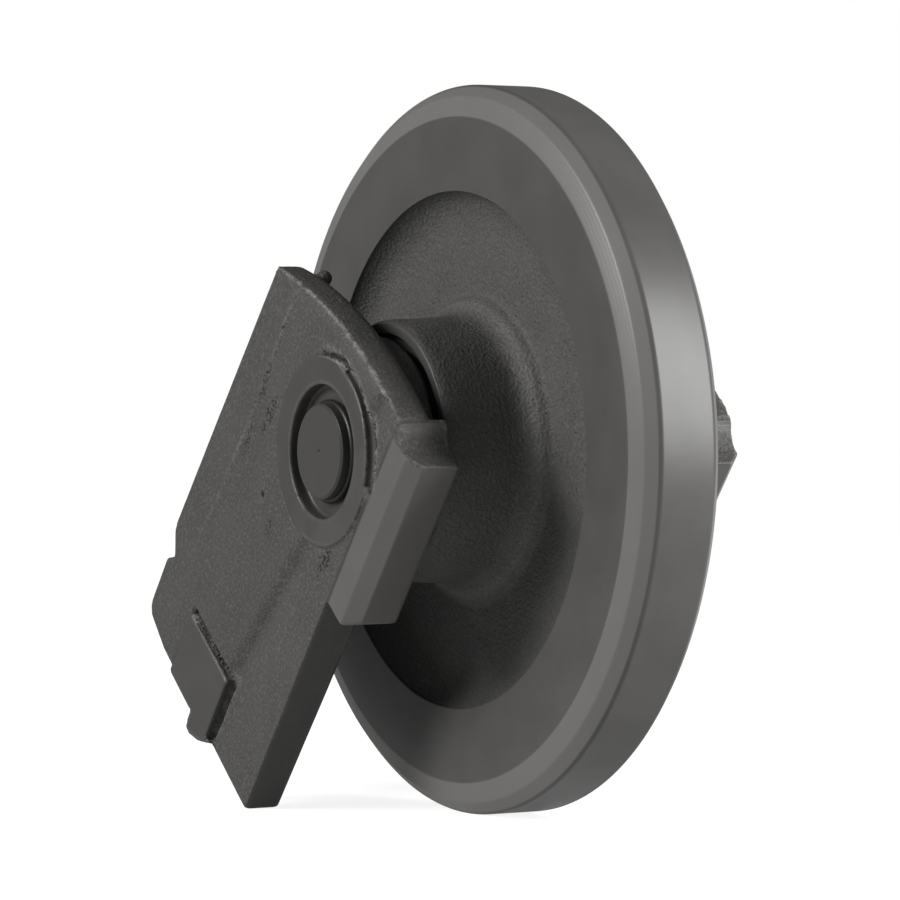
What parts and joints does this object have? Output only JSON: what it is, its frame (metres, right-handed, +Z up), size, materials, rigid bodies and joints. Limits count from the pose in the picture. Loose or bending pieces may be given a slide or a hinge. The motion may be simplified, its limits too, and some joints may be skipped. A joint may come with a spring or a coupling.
{
  "type": "front idler",
  "caption": "Excavator front idler: a cast track guide wheel turning on a sealed axle between a pair of cast brackets with guide pads.",
  "frame": {"origin": "centre of the wheel, on the axle and in the wheel's mid-plane", "axes": "+Z up, the axle along Y with the seen bracket at -Y, the brackets' rear ends toward -X; the part stands on the plane z = -0.178 m"},
  "size_m": [0.3726, 0.191, 0.356],
  "materials": {
    "wheel": "satin paint over cast and turned steel",
    "bracket": "satin paint over cast and milled steel",
    "axle": "satin paint over turned steel",
    "bush": "turned bronze",
    "seal": "lapped",
    "rubber": "matte",
    "wire": "drawn spring wire",
    "plug": "zinc plated",
    "washer": "pressed copper"
  },
  "bodies": {
    "carrier": {"axle_shaft": "axle", "near_bracket": "bracket", "far_bracket": "bracket", "near_bracket_seal_ring": "seal", "far_bracket_seal_ring": "seal", "near_bracket_toric": "rubber", "far_bracket_toric": "rubber", "near_axle_o_ring": "rubber", "far_axle_o_ring": "rubber", "near_snap_ring": "wire", "far_snap_ring": "wire", "oil_plug": "plug", "oil_plug_washer": "washer"},
    "wheel": {"idler_wheel": "wheel", "near_bush": "bush", "far_bush": "bush", "near_hub_seal_ring": "seal", "far_hub_seal_ring": "seal", "near_hub_toric": "rubber", "far_hub_toric": "rubber"}
  },
  "joints": [
    {"name": "wheel_spin", "type": "hinge", "parent": "carrier", "child": "wheel", "pos_m": [0, 0, 0], "axis": [0, 1, 0], "continuous": true}
  ]
}
